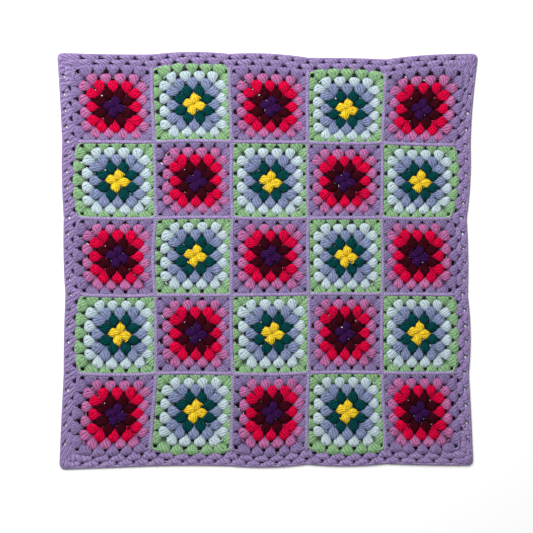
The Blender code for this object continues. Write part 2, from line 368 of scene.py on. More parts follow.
def ply_strokes(tree, where):
    """The plies as slanting strokes, as two sockets: their wave, and how much painted light they let
    show, with painted shade in the grooves.

    PLIES * turns round the strand + mm along it / PLY_LENGTH + a slow noise is folded into a wave
    from 0 in a groove to 0.5 on a ply. The light is the wave, stretched, or what the noise gives
    where the plies have closed up, whichever is more.
    """
    strand = add_node(tree, "ShaderNodeSeparateXYZ", links={0: where.outputs["UV"]})
    slow = {"Scale": 1 / (WANDER * MM), "Detail": 1.0}
    wander = add_node(tree, NOISE, links={"Vector": where.outputs["Object"]}, values=slow)
    mm_and_noise = {0: strand.outputs["Y"], 2: wander.outputs["Fac"]}
    along = add_node(tree, MATHS, TIMES_PLUS, mm_and_noise, {1: 1 / PLY_LENGTH})
    turns_and_along = {0: strand.outputs["X"], 2: along.outputs[0]}
    around = add_node(tree, MATHS, TIMES_PLUS, turns_and_along, {1: PLIES})
    wave = add_node(tree, MATHS, {"operation": "PINGPONG"}, {0: around.outputs[0]}, {1: 0.5})
    ply = add_node(tree, RANGE, links={"Value": wave.outputs[0]}, values=GROOVE)
    closed = add_node(tree, RANGE, links={"Value": wander.outputs["Fac"]}, values=CLOSED)
    seen = add_node(tree, MATHS, {"operation": "MAXIMUM"}, {0: ply.outputs[0], 1: closed.outputs[0]})
    return wave.outputs[0], seen.outputs[0]


# %% The painted shade between the stitches
SHADED = {"From Min": 0.6 * MM, "From Max": 3.6 * MM}  # above the floor, from full painted shade to none
TONED = {"To Min": 0.4, "To Max": 1.0}  # the painted light for a tone from 0 to 1
IN_A_HOLE = {"From Min": -1.0, "From Max": 0.0, "To Min": 0.04}  # painted shade in a hole: what is left of the colour at a tone under 0


def light_left(tree, where, strokes):
    """Two sockets of painted light and shade: the strokes' light * height above the floor * tone, both
    stretched, and what the painted shade of a hole leaves of any colour, which is the tone below 0,
    stretched."""
    place = add_node(tree, "ShaderNodeSeparateXYZ", links={0: where.outputs["Object"]})
    smooth = {"interpolation_type": "SMOOTHSTEP"}
    depth = add_node(tree, RANGE, smooth, {"Value": place.outputs["Z"]}, SHADED)
    tone = add_node(tree, "ShaderNodeAttribute", {"attribute_name": "tone"})
    toned = add_node(tree, RANGE, links={"Value": tone.outputs["Fac"]}, values=TONED)
    hole = add_node(tree, RANGE, links={"Value": tone.outputs["Fac"]}, values=IN_A_HOLE)
    light = add_node(tree, MATHS, TIMES, {0: strokes, 1: depth.outputs[0]})
    painted_light = add_node(tree, MATHS, TIMES, {0: light.outputs[0], 1: toned.outputs[0]})
    return painted_light.outputs[0], hole.outputs[0]


# %% Acrylic yarn
# Spun acrylic throws back hardly any gloss, only a faint bloom where fibres stand out against the
# light, so it is rough, nearly without specular light and has a little sheen.
FIBRE = 0.9  # mm, the size of a tuft of fibre, coarser than life so that it shows
TUFT_LIGHT = 0.3  # how much a tuft lightens the yarn
TUFT_HEIGHT = 0.6  # a tuft's height beside a ply's
PLY_DEPTH = 1.1  # mm, how deep the plies are drawn, deeper than life so that they show
SPUN_MATT = {"Roughness": 0.92, "Specular IOR Level": 0.04, "Sheen Weight": 0.08, "Sheen Roughness": 0.6}


def acrylic_yarn(name, hex_colour, shade_hex):
    """Matt four-ply acrylic: plies slant along the strand, tufts of fibre mottle it, and painted shade
    darkens it where it lies deep in the fabric."""
    material = bpy.data.materials.new(name)
    material.use_nodes = True
    tree = material.node_tree
    shader = tree.nodes["Principled BSDF"]
    for key, value in SPUN_MATT.items():
        shader.inputs[key].default_value = value
    shader.inputs["Sheen Tint"].default_value = linear(hex_colour)
    where = add_node(tree, "ShaderNodeTexCoord")
    wave, strokes = ply_strokes(tree, where)
    painted_light, hole = light_left(tree, where, strokes)
    fine = {"Scale": 1 / (FIBRE * MM), "Detail": 2.0, "Roughness": 0.6}
    tufts = add_node(tree, NOISE, links={"Vector": where.outputs["Object"]}, values=fine)
    tufts_and_light = {0: tufts.outputs["Fac"], 2: painted_light}
    lit = add_node(tree, MATHS, {**TIMES_PLUS, "use_clamp": True}, tufts_and_light, {1: TUFT_LIGHT})
    # painted light and shade: the yarn's colour in full light and its shade colour, mixed by the painted
    # light
    shades = {"A": linear(shade_hex), "B": linear(hex_colour)}
    mixed = {"Factor": lit.outputs[0]}
    colour = add_node(tree, "ShaderNodeMix", {"data_type": "RGBA"}, mixed, shades)
    # painted shade: at a tone below 0 the colour is dimmed nearly to black at the bottom of a hole
    in_hole = {0: colour.outputs["Result"], "Scale": hole}
    dimmed = add_node(tree, "ShaderNodeVectorMath", {"operation": "SCALE"}, in_hole)
    tufts_and_plies = {0: tufts.outputs["Fac"], 2: wave}
    height = add_node(tree, MATHS, TIMES_PLUS, tufts_and_plies, {1: TUFT_HEIGHT})
    deep = {"Strength": 0.9, "Distance": PLY_DEPTH * MM}
    bump = add_node(tree, "ShaderNodeBump", links={"Height": height.outputs[0]}, values=deep)
    tree.links.new(dimmed.outputs[0], shader.inputs["Base Color"])
    tree.links.new(bump.outputs["Normal"], shader.inputs["Normal"])
    return material


# %% The ten yarns, lit and in shade
# the second colour of each yarn is its painted shade
PURPLE = acrylic_yarn("acrylic_yarn_purple", "#38124A", "#0C0214")
MAROON = acrylic_yarn("acrylic_yarn_maroon", "#3C0614", "#0E0104")
CRIMSON = acrylic_yarn("acrylic_yarn_crimson", "#DE053E", "#5E021C")
PINK = acrylic_yarn("acrylic_yarn_dusty_pink", "#BD6FA2", "#602F54")
LILAC = acrylic_yarn("acrylic_yarn_lilac", "#A28FBB", "#5A4776")
YELLOW = acrylic_yarn("acrylic_yarn_yellow", "#EFCF32", "#9A6C0C")
TEAL = acrylic_yarn("acrylic_yarn_teal", "#064345", "#011413")
GREY_BLUE = acrylic_yarn("acrylic_yarn_grey_blue", "#8691AF", "#404A72")
ICE = acrylic_yarn("acrylic_yarn_ice_blue", "#BDCDD3", "#8397A0")
GREEN = acrylic_yarn("acrylic_yarn_light_green", "#AFD9A5", "#446A45")
LILAC_SQUARE = (PURPLE, MAROON, CRIMSON, PINK, LILAC)
GREEN_SQUARE = (YELLOW, TEAL, GREY_BLUE, ICE, GREEN)
print("yarns:", len(LILAC_SQUARE + GREEN_SQUARE))

# %% [markdown]
# A cluster is three treble stitches worked into one space. Their posts start pulled together and fan
# out like a shell, so close that they make one plump lump. Each post is yarn wrapped and pulled through
# three times, which shows on the lump as short slanting lines. They all slant the same way, because
# every round is worked in the same direction. Every turn of the yarn could be a strand of its own, but
# seen from a step away the lump and its lines are what counts. So a cluster is a fat flat body, wide
# where the posts fan out, with the plies drawn slantwise over it and one to three short strands, the
# bars, lying on it.

# %% The shape of a cluster
# body, ring by ring: the share of the length, half width, half thickness, height of its middle above
# the floor in mm, and tone, which is painted light and shade: lower towards the ends, and below 0 where
# the yarn is painted nearly black. It starts deep down between the clusters below. A shell ends in a
# low tongue, the loops that the next round goes through, at the bottom of a hole and painted nearly
# black as its shade, and a band, with no round beyond it, doesn't. A band's tones are low, painted
# shade that draws the last round darker. bars: for each bar, its share of the length, and of the half
# width from the middle line. half: half a bar's length in mm. slant: in degrees. light: the bars' least
# tone.
SHELL_BODY = (
    (-0.10, 3.6, 0.7, 1.1, -0.6),
    (0.08, 4.8, 1.2, 1.7, 0.1),
    (0.28, 7.8, 1.7, 2.1, 0.5),
    (0.50, 9.9, 2.0, 2.2, 0.7),
    (0.76, 10.2, 1.9, 2.2, 0.7),
    (0.95, 7.6, 1.2, 2.0, 0.3),
    (1.03, 5.4, 0.6, 1.0, -1.0),
    (1.18, 4.2, 0.5, 0.8, -1.0),
)
SHELL_BARS = ((0.72, -0.42), (0.70, 0.38))
SHELL = {"body": SHELL_BODY, "bars": SHELL_BARS, "slant": 33.0, "half": 3.1, "light": 0.6}
BAND_BODY = (
    (-0.04, 2.8, 0.7, 1.0, -0.8),
    (0.12, 3.4, 1.0, 1.3, -0.4),
    (0.34, 5.2, 1.4, 1.8, -0.1),
    (0.50, 8.8, 1.7, 2.1, -0.08),
    (0.71, 9.6, 1.8, 2.2, -0.05),
    (0.83, 12.3, 1.9, 2.2, -0.05),
    (0.98, 12.6, 1.6, 2.0, -0.05),
)
BAND = {"body": BAND_BODY, "bars": ((0.80, 0.05),), "slant": 38.0, "half": 3.5, "light": 0.0}
print("a shell's greatest width:", 2 * max(ring[1] for ring in SHELL_BODY), "mm")

# %% Clusters of three trebles
BODY_SIDES, LONG_SIDES, THIN_SIDES = 8, 6, 5  # of a body, a long strand and a short one
BODY_PLIES = (-5.0, 0.46)  # of a body, which is fatter than a strand: more lines round it, and longer
BAR_WIDE, BAR_HIGH = 1.2, 1.05  # mm, a bar's half width and half thickness where it is plumpest
BAR_ENDS = np.array([0.8, 1.0, 0.8])  # shares of them from end to end
BAR_BEND = np.array([-0.9, 0.0, -0.9])  # mm, how far its ends go down
BAR_REST = 2.2 - 0.1  # mm, a body's middle, less what the bar sinks into it
BAR_SPLAY = 0.35  # radians that a bar at the body's very side turns outward
# How unevenly the bars come out: their slant in degrees, their half length and height in mm.
SLANT_OFF, HALF_OFF, REST_OFF = 6, 0.2, 0.12
BODY_TONES = 0.25  # how far the tones of two bodies differ at most
TONE_SHARED, TONE_OWN = 0.2, 0.3  # of a bar's tone: what it shares with its body, and its own
PLACE_OFF = 0.4  # mm, how far off its place a cluster is worked
STEP = np.array([-1.0, 0.0, 1.0])  # the three rings of a short strand
rng = np.random.default_rng(25)  # one fixed seed, so that every run makes the same blanket


def turn_out(centre, angle, local):
    """Local (across, out, height) of each cluster, turned clockwise by its angle to its centre."""
    c, s = np.cos(angle)[:, None], np.sin(angle)[:, None]
    x = centre[:, :1] + local[..., 0] * c + local[..., 1] * s
    y = centre[:, 1:] - local[..., 0] * s + local[..., 1] * c
    return np.stack([x, y, local[..., 2]], axis=-1)


def clusters(centre, angle, size, finish, length, shell):
    """Clusters of three trebles, as batches of strands, in mm.

    The body is a flattened strand along the cluster's middle line. A bar's middle rests on it: the
    body's half thickness there times sqrt(1 - (its share of the half width) squared), and its ends
    bend down to both sides.
    """
    count = len(angle)
    tone = rng.random(count)
    share, wide, thick, middle, light = np.array(shell["body"]).T
    line = np.stack([0 * share, (share - 0.5) * length, middle], axis=-1)
    line = line * np.column_stack([size, size, np.ones(count)])[:, None]
    path = turn_out(centre, angle, line)
    lit = light + BODY_TONES * (tone[:, None] - 0.5) * (light > 0)
    batches = [strand_batch(path, wide * size[:, None], thick, BODY_SIDES, lit, finish, BODY_PLIES)]
    for along, aside in shell["bars"]:
        crown = np.interp(along, share, thick) * math.sqrt(1 - aside**2)
        slant = np.radians(shell["slant"] + rng.normal(0, SLANT_OFF, count))[:, None]
        turn = aside * BAR_SPLAY - slant
        half = shell["half"] + rng.normal(0, HALF_OFF, count)[:, None]
        x = aside * np.interp(along, share, wide) + half * STEP * np.sin(turn)
        y = (along - 0.5) * length + half * STEP * np.cos(turn)
        z = BAR_REST + crown + BAR_BEND + rng.normal(0, REST_OFF, count)[:, None]
        path = turn_out(centre, angle, np.stack([x * size[:, None], y * size[:, None], z], axis=-1))
        lit = shell["light"] + TONE_SHARED * tone + TONE_OWN * rng.random(count)
        batches.append(strand_batch(path, BAR_WIDE * BAR_ENDS, BAR_HIGH * BAR_ENDS, THIN_SIDES, lit, finish))
    return batches


def unevenly(centre, angle, turn, size):
    """Those places and angles as a hand works them, and a size for each: all a little off, the places
    by about PLACE_OFF, the angles by about turn degrees and the sizes by about size."""
    centre = centre + rng.normal(0, PLACE_OFF, centre.shape)
    angle = angle + np.radians(rng.normal(0, turn, len(angle)))
    return centre, angle, 1 + rng.normal(0, size, len(angle))


# %% [markdown]
# A granny square grows in rounds from the middle. Four clusters make the flower, and each round adds a
# cluster to every side: one cluster in each gap of the round below, two in each corner. The rounds
# differ only in where their clusters stand and a little in their form, so a short table says that for
# one side and a loop turns it to the other three.

# %% The rounds of a square
LENGTHS = (18.5, 20.0, 21.5, 18.0, 17.0)  # mm, of each round's clusters
# For each round's clusters on one side, the mm from the side's middle, the mm out from the square's
# middle and the degrees that it turns away from square to its side.
PLACES = (
    ((0.0, 9.6, 0.0),),
    ((-10.7, 23.9, -9.0), (10.7, 23.9, 9.0)),
    ((-23.3, 36.2, -13.0), (0.0, 36.2, 0.0), (23.3, 36.2, 13.0)),
    ((-35.8, 49.6, -12.0), (-12.3, 49.5, 0.0), (12.3, 49.5, 0.0), (35.8, 49.6, 12.0)),
    ((-47.4, 57.8, -4.0), *((x, 57.8, 0.0) for x in (-24.4, 0.0, 24.4)), (47.4, 57.8, 4.0)),
)
LAST = len(PLACES) - 1
FLOWER_TURN = 14.0  # degrees that the middle round has slewed, as every first round does
FREE_REACH = 4.5  # mm that the last round reaches further where no seam holds it
print("clusters in a square:", 4 * sum(len(places) for places in PLACES))

# %% [markdown]
# The flower's clusters are petals, slimmer than the rest. The second round still opens wide at its
# foot, and the fourth is the fullest. Two clusters that share a corner lean apart over a wide foot.
# Where the last round has no seam beyond it, its heads run on to the border.

# %% The form of each round's clusters
PETAL_BODY = (
    (0.02, 4.2, 1.2, 2.0, 0.2),
    (0.26, 6.8, 1.8, 2.2, 0.6),
    (0.50, 8.4, 2.0, 2.3, 0.7),
    (0.78, 8.4, 1.9, 2.2, 0.7),
    (0.98, 5.8, 1.2, 1.9, 0.3),
    (1.10, 5.4, 0.6, 1.0, -0.4),
    (1.22, 6.4, 0.5, 0.8, -0.4),
)
PETAL = dict(SHELL, body=PETAL_BODY, bars=((0.5, -0.3), (0.78, 0.35)), slant=25.0)
EARLY_BODY = (
    (-0.15, 4.8, 0.8, 1.1, -0.5),
    (0.05, 6.4, 1.4, 1.8, 0.2),
    (0.28, 8.2, 1.8, 2.2, 0.6),
    (0.50, 9.8, 2.0, 2.2, 0.7),
    (0.76, 10.0, 1.9, 2.2, 0.7),
    (0.95, 7.4, 1.2, 1.9, 0.3),
    (1.04, 7.6, 0.6, 1.0, -0.3),
    (1.17, 6.0, 0.5, 0.8, -0.3),
)
EARLY = dict(SHELL, body=EARLY_BODY)
FULLER = 1.05  # times as wide
FULL_BODY = [(share, FULLER * wide, *rest) for share, wide, *rest in SHELL_BODY[:-1]]
FULL_SHELL = dict(SHELL, body=(*FULL_BODY, (1.32, 4.6, 0.5, 0.8, -1.0)))
CORNER_FOOT = ((-0.20, 5.6, 0.7, 1.1, -0.3), (0.00, 7.4, 1.2, 1.6, 0.1), (0.28, 8.2, 1.7, 2.1, 0.4))
CORNER_SHELL = dict(SHELL, body=(*CORNER_FOOT, *SHELL_BODY[3:-1], (1.28, 4.4, 0.5, 0.8, -1.0)))
# Only a free band's heads are longer, so its other rings lie at smaller shares of its length.
KEPT = LENGTHS[LAST] / (LENGTHS[LAST] + FREE_REACH)
FREE_BODY = [(share * KEPT, *rest) for share, *rest in BAND_BODY[:-1]]
FREE_HEAD = (BAND_BODY[-1], (1.03, 7.0, 0.6, 1.0, -1.0), (1.12, 4.5, 0.5, 0.8, -1.0))
FREE_BAND = dict(BAND, body=(*FREE_BODY, *FREE_HEAD), bars=((0.66, 0.05),))


def wide_foot(shell, *feet):
    """The same shell for a corner, where two share one space: its first rings as wide as feet."""
    body = [(share, foot, thick, *rest) for foot, (share, _, thick, *rest) in zip(feet, shell["body"])]
    return dict(shell, body=(*body, *shell["body"][len(feet) :]))


SHELLS = (PETAL, EARLY, SHELL, FULL_SHELL, BAND)
CORNER_BAND = wide_foot(BAND, 6.0, 8.0, 10.2, 11.6, 12.0, 12.4)
CORNER_SHELLS = (PETAL, EARLY, CORNER_SHELL, CORNER_SHELL, CORNER_BAND)
FREE_CORNER_BAND = wide_foot(FREE_BAND, 5.6, 7.6, 9.8, 11.4, 11.8, 12.4)
print("a free band's head:", round((1 - KEPT) * 100), "% of its length")

# %% [markdown]
# Blocking and joining also pull the inside of a square to one side. The flower goes along the whole
# way, the later rounds less, and the last round only along its sides, because its feet stand in the
# round below and its heads are held by the seams.

# %% How far the rounds have slipped
# How far the middle of each square has slipped to the right and to the far side, in mm.
SLIP_RIGHT = np.array([
    (2, 4, 3, 2, -1),
    (4, 5, 1, -1, 0),
    (5, 5, 2, 1, -2),
    (6, 4, 4, -1, -1),
    (4, 4, 4, 3, -2),
])
SLIP_UP = np.array([
    (-5, -3, -3, -4, -5),
    (-1, -3, -2, -1, 0),
    (1, 1, 1, -1, 1),
    (2, 1, 2, 1, 1),
    (0, 3, 3, 2, 1),
])
SLIPPED = (1.0, 1.0, 0.85, 0.7, 0.6)  # the share of it that each round has gone along
ALONG_SIDE = np.abs(OUT[:, ::-1])  # 1 for the way along each side and 0 for the way out
print("greatest slip:", np.hypot(SLIP_RIGHT, SLIP_UP).max().round(1), "mm")


# %% Turning to the four sides
def turned(ground, degrees):
    """Those (x, y) turned clockwise about the square's middle: (x cos + y sin, y cos - x sin)."""
    c, s = math.cos(math.radians(degrees)), math.sin(math.radians(degrees))
    return np.asarray(ground) @ np.array([[c, -s], [s, c]])


def one_side(places, side, reach):
    """A side's clusters turned to one of the four sides, reach mm further out: their middles and
    angles."""
    along, out, lean = np.array(places).T
    return turned(np.column_stack([along, out + reach]), 90 * side), np.radians(lean + 90 * side)


def on_four_sides(ground, height):
    """A line of (x, y) turned to the square's four sides, at those heights, as four paths."""
    height = np.broadcast_to(height, len(ground))
    return np.stack([np.column_stack([turned(ground, 90 * side), height]) for side in range(4)])


print("the flower's right petal, in mm:", one_side(PLACES[0], 1, 0.0)[0].round(1))

# %% [markdown]
# Between the clusters are holes. Through some of them one sees the floor, and in others the loops of
# the rounds below, so deep down that little light reaches them. They are flat loops at the bottom of
# each dark hole, and their darkness is painted shade: their tone paints them nearly black. At the
# corners of the last round the chain stitches stand round the hole as a loop, drawn in low tones as
# painted shade. And where the colour changes, the end of the old yarn comes through as a small bright
# loop.

# %% The loose loops of a square
CORNER_LOOP = np.array([(47, 65.6), (56, 66.0), (63, 65.4), (65.4, 63), (66, 56), (65.6, 47)])
LOOP_WIDE = (1.6, 2.0, 2.6, 2.6, 2.0, 1.6)  # mm, half widths along it
LOOP_HIGH, LOOP_MIDDLE = 1.7, 2.5  # mm, its half thickness and its middle's height
# painted shade: the corner loops' tones are low
LOOP_TONES = (0.0, 0.2)
# The holes whose bottom shows: mm along the side and mm out, half their length in mm, the round whose
# loops lie in them, their tone, below 0 so that the loops are painted nearly black as shade, and the
# share of the slip that they go along.
HOLES = (
    (0.0, 21.8, 3.2, 2, -0.35, 1.0),
    (18.0, 18.0, 1.4, 2, -0.4, 1.0),
    (-11.8, 37.6, 1.8, 3, -0.7, 0.85),
    (11.8, 37.6, 1.8, 3, -0.7, 0.85),
    (34.3, 34.3, 2.6, 3, -0.5, 0.85),
    (41.6, 41.6, 2.8, 3, -0.6, 0.85),
    (48.0, 48.0, 2.6, 4, -0.6, 0.7),
    (59.8, 59.8, 2.2, 4, -1.0, 0.0),
)
# The last round's holes: mm along the side, mm out and half their length. Their bottoms show only on
# a side that the square's middle has slipped from by at least WIDE_SLIP mm, and their loops are
# painted black as shade.
LAST_HOLES, LAST_HOLES_OUT, LAST_HOLES_HALF = (-36.0, -12.2, 12.2, 36.0), 60.0, 2.2
WIDE_SLIP = 2.0
HOLE_WIDE, LAST_HOLE_WIDE = (2.4, 3.7, 2.4), (2.0, 3.0, 2.0)  # mm, the loops' half widths
HOLE_HIGH, HOLE_FLOOR = 0.4, 0.8  # mm, their half thickness and their middle's height
TAILS = (None, (11.5, 12.5), (23.0, 24.5), (36.0, 34.0), (50.0, 48.5))  # mm from the square's middle
TAIL_BEND = np.array([(-2.0, 1.5), (0.0, 0.0), (1.5, -2.5)])
TAIL_HEIGHT = (4.0, 4.7, 4.0)
TAIL_WIDE, TAIL_HIGH, TAIL_TONE = 1.1, 1.0, 0.9  # its half width and half thickness in mm


def hole_line(x, y, half):
    """Three points along the way out through (x, y), or slantwise where it is at a corner."""
    return (x, y) + half * np.column_stack([STEP * (x == y), STEP])


def loose_loops(slip):
    """The chain loops round the hole at each of the last round's four corners, and the loops that
    lie at the bottom of the holes and slip with the rounds that they lie between, all drawn dark as
    painted shade."""
    corner = on_four_sides(CORNER_LOOP, LOOP_MIDDLE)
    tones = rng.uniform(*LOOP_TONES, 4)
    batches = [strand_batch(corner, LOOP_WIDE, LOOP_HIGH, LONG_SIDES, tones, LAST)]
    for x, y, half, number, tone, share in HOLES:
        path = on_four_sides(hole_line(x, y, half), HOLE_FLOOR) + (*(slip * share), 0.0)
        batches.append(strand_batch(path, HOLE_WIDE, HOLE_HIGH, THIN_SIDES, tone, number))
    left = OUT @ slip <= -WIDE_SLIP
    if left.any():
        shift = slip * SLIPPED[LAST] * ALONG_SIDE[left]
        for x in LAST_HOLES:
            path = on_four_sides(hole_line(x, LAST_HOLES_OUT, LAST_HOLES_HALF), HOLE_FLOOR)[left]
            path[..., :2] += shift[:, None]
            batches.append(strand_batch(path, LAST_HOLE_WIDE, HOLE_HIGH, THIN_SIDES, -1.0, LAST))
    return batches


def tail(number, side, slip):
    """The end of the yarn of the round before, pulled through where the colour changes."""
    ground = turned(TAILS[number] + TAIL_BEND, 90 * side) + slip * SLIPPED[number - 1]
    path = np.column_stack([ground, TAIL_HEIGHT])[None]
    return strand_batch(path, TAIL_WIDE, TAIL_HIGH, THIN_SIDES, TAIL_TONE, number - 1)


print("loops at the bottom of holes:", 4 * len(HOLES), "or more in a square")


# %% All the strands of a square
def square_batches(row, column):
    """All the strands of one square, about its own middle, in mm."""
    slip = np.array([SLIP_RIGHT[row, column], SLIP_UP[row, column]])
    batches = loose_loops(slip)
    batches += [tail(number, rng.integers(4), slip) for number in range(1, len(PLACES))]
    free_sides = (row == 0, column == SIDE - 1, row == SIDE - 1, column == 0)
    for number, places in enumerate(PLACES):
        for side in range(4):
            free = number == LAST and free_sides[side]
            reach = FREE_REACH if free else 0.0
            centre, angle = one_side(places, side, reach / 2)
            centre, angle, size = unevenly(centre, angle, turn=3.5, size=0.03)
            if number == 0:
                centre, angle = turned(centre, FLOWER_TURN), angle + math.radians(FLOWER_TURN)
            held = ALONG_SIDE[side] if number == LAST else 1
            centre = centre + slip * SLIPPED[number] * held
            spot = np.arange(len(angle))
            end = (spot == 0) | (spot == spot[-1])
            shells = (FREE_CORNER_BAND, FREE_BAND) if free else (CORNER_SHELLS[number], SHELLS[number])
            for part, shell in zip((end, ~end), shells):
                if part.any():
                    length = LENGTHS[number] + reach
                    batches += clusters(centre[part], angle[part], size[part], number, length, shell)
    return batches


def square_place(row, column):
    """The function that lays that square's strands in place: its middle half a square in."""
    return lambda p: lie(column + 0.5 + p[:, 0] / PITCH, row + 0.5 - p[:, 1] / PITCH)


# %% The twenty-five squares
squares = []
for row in range(SIDE):
    for column in range(SIDE):
        lilac_kind = (row + column) % 2 == 0
        name = f"square_{row + 1}_{column + 1}"
        yarns = LILAC_SQUARE if lilac_kind else GREEN_SQUARE
        piece = yarn_object(name, square_batches(row, column), yarns, square_place(row, column))
        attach(piece, "root")
        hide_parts(f"panel_{row + 1}_{column + 1}")
        squares.append(piece)
print("squares:", len(squares), "of", triangles(squares[0]), "triangles")

# %% [markdown]
# The squares are joined from the front with a line of slip stitches, which stands up as a ridge,
# ribbed slantwise like a cord. A cord could be turned from one profile, but then its ribs would all be
# alike. So it is made as one flattened strand under a row of short slanting ones that overlap. The
# upright lines were worked last and run over the level ones. On the lilac side the edge loops of the
# green square are pulled through and show as a row of tiny specks.

# %% A ridge of slip stitches
STRAND = 1.3  # mm, the radius of one strand of the yarn
LINK = 4.4  # mm from one slip stitch to the next
RIB_OUT, RIB_AHEAD = 0.5, 0.75  # a rib's end from its middle, in the ridge's half widths and in links
RIB_WIDE = np.array([0.5, 0.7, 0.5])  # its half widths, as shares of the ridge's
RIB_BEND = 0.5  # mm, how far its ends go down
CORE_DOWN, CORE_TONE = 0.2, 0.9  # mm that the strand under the ribs lies lower, and its tone


def ridge(along, out, half, high, tone, finish):
    """A ridge along +Y through those places, half wide to both sides of x = out: one flattened
    strand, and over it a row of slanting ones, like the ribs of a cord."""
    x = np.broadcast_to(out + half * RIB_OUT * STEP, (len(along), 3))
    y = along[:, None] + RIB_AHEAD * LINK * STEP
    z = np.broadcast_to(high - RIB_BEND * np.abs(STEP), (len(along), 3))
    path = np.stack([x, y, z], axis=-1)
    ribs = strand_batch(path, half * RIB_WIDE, STRAND, THIN_SIDES, tone, finish)
    line = np.column_stack([np.full(len(along), out), along, np.full(len(along), high - CORE_DOWN)])
    core = strand_batch(line[None], half, STRAND, LONG_SIDES, CORE_TONE, finish)
    return [core, ribs]


print("slip stitches along one square:", round(PITCH / LINK))

# %% The strands of a seam
SEAM_HALF, SEAM_HIGH = 3.4, 3.6  # mm, its half width, and the middle height of its ribs
SPECK, SPECK_SIDES, SPECK_TONE = 0.6, 4, 0.1  # a green speck: its radius in mm
SPECK_SHARE = 0.5  # of the stitches that have one
SPECK_HALF = (0.4, 0.7)  # mm, from a speck's middle to its end
SPECK_HIGH = 3.9  # mm
LEVEL_END = 0.02  # squares from a crossing to where a level seam begins


def seam_batches(line_length, lilac_side):
    """A straight seam along +Y from 0, with specks at half its stitches on the lilac side.
    lilac_side gives that for each place: 1 where it lies towards +X and -1 where it doesn't."""
    along = np.arange(0, line_length + LINK / 2, LINK)
    tone = 0.8 + 0.3 * rng.random(len(along))
    batches = ridge(along, 0.0, SEAM_HALF, SEAM_HIGH, tone, 0)
    spot = along[rng.random(len(along)) < SPECK_SHARE]
    ground = np.column_stack([lilac_side(spot) * SEAM_HALF, spot])
    path = np.stack([ground - SPECK_HALF, ground + SPECK_HALF], axis=1)
    path = np.concatenate([path, np.full((len(path), 2, 1), SPECK_HIGH)], axis=-1)
    batches.append(strand_batch(path, SPECK, SPECK, SPECK_SIDES, SPECK_TONE, 1))
    return batches


# %% The joining seams
seams = []
for line in range(1, SIDE):

    def upright_place(p, line=line):
        return lie(line - p[:, 0] / PITCH, p[:, 1] / PITCH)

    def upright_side(y, line=line):
        row = np.clip((y / PITCH).astype(int), 0, SIDE - 1)
        return np.where((row + line) % 2 == 0, -1, 1)

    batches = seam_batches(SIDE * PITCH, upright_side)
    piece = yarn_object(f"upright_seam_{line}", batches, (LILAC, GREEN), upright_place)
    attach(piece, "root")
    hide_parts(f"seam_upright_{line}")
    seams.append(piece)
    for column in range(SIDE):

        def level_place(p, line=line, column=column):
            return lie(column + LEVEL_END + p[:, 1] / PITCH, line + p[:, 0] / PITCH)

        def level_side(y, line=line, column=column):
            return np.full(len(y), 1 if (line + column) % 2 == 0 else -1)

        batches = seam_batches(PITCH * (1 - 2 * LEVEL_END), level_side)
        piece = yarn_object(f"level_seam_{line}_{column + 1}", batches, (LILAC, GREEN), level_place)
        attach(piece, "root")
        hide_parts(f"seam_level_{line}_{column + 1}")
        seams.append(piece)
print("seams:", len(seams), "upright one:", triangles(seams[0]), "triangles")

# %% [markdown]
# The border is worked round the joined squares in lilac: one round of clusters in the gaps of the
# squares' last round, a second between those, and the loops of its heads as the blanket's edge. Bent
# boxes would do for its outline, but its clusters have to stand square to an edge that waves. So they
# are worked on a straight strip, millimetres along by millimetres out, and the strip is laid round the
# blanket.

# %% The form of the border's clusters
# The last column, tone, is painted light and shade: below 0 the foot and the tongue are painted nearly
# black, deep in the holes.
BORDER_BODY = (
    (-0.12, 5.0, 0.7, 1.0, -0.8),
    (0.10, 7.4, 1.2, 1.5, -0.2),
    (0.30, 10.2, 1.6, 1.9, 0.4),
    (0.42, 10.8, 1.8, 2.1, 0.3),
    (0.56, 12.0, 1.9, 2.2, 0.3),
    (0.68, 13.8, 1.9, 2.2, 0.3),
    (0.97, 13.8, 1.6, 2.0, 0.3),
)
BORDER_TONGUE = ((1.05, 8.0, 0.6, 1.0, -1.0), (1.22, 5.0, 0.5, 0.8, -1.0))
BORDER_BARS = ((0.56, -0.62), (0.68, -0.08), (0.78, 0.48))
OUTER_BAND = dict(BAND, body=BORDER_BODY, bars=BORDER_BARS, slant=46.0, half=5.0, light=0.6)
INNER_BAND = dict(OUTER_BAND, body=(*BORDER_BODY, *BORDER_TONGUE))
BORDER_DEEP = 25.0  # mm, the border's even width, which the outline then stretches a little
CORNER_DRAWN, CORNER_NEAR = 0.12, 0.06  # share of the width drawn in, within this many squares
INNER_OUT, INNER_LONG = 6.0, 16.0  # mm, where the inner round's clusters stand and their length
OUTER_OUT, OUTER_LONG = 16.2, 15.6  # the same of the outer round
INNER_CORNER, OUTER_CORNER = 0.065, 0.03  # squares from a corner to the clusters beside it


def border_place(p):
    """Lays out (mm along the rim, mm out from it) between the squares' edge and the outline, drawn
    in a little near the blanket's corners, which rounds them."""
    along = p[:, 0] / PITCH
    from_corner = np.abs((along + SIDE / 2) % SIDE - SIDE / 2)
    drawn_in = 1 - CORNER_DRAWN * np.clip(1 - from_corner / CORNER_NEAR, 0, 1) ** 2
    return blend(lie(*rim(along)), outline(along), (p[:, 1] / BORDER_DEEP * drawn_in)[:, None])


def border_round(along, out, length, shell):
    """One round of clusters standing on the rim at those places, in squares round the blanket."""
    centre = np.column_stack([along * PITCH, np.full(len(along), out)])
    centre, angle, size = unevenly(centre, np.zeros(len(along)), turn=2.5, size=0.02)
    return clusters(centre, angle, size, 0, length, shell)


def rim_places(first, stop, corner):
    """Places on all four sides, in squares: from first until stop, a cluster's step apart, and one
    beside each corner, which is corner squares away."""
    side = np.append(np.arange(first, stop, CLUSTER_STEP), (corner, SIDE - corner))
    return np.concatenate([side + SIDE * k for k in range(4)])


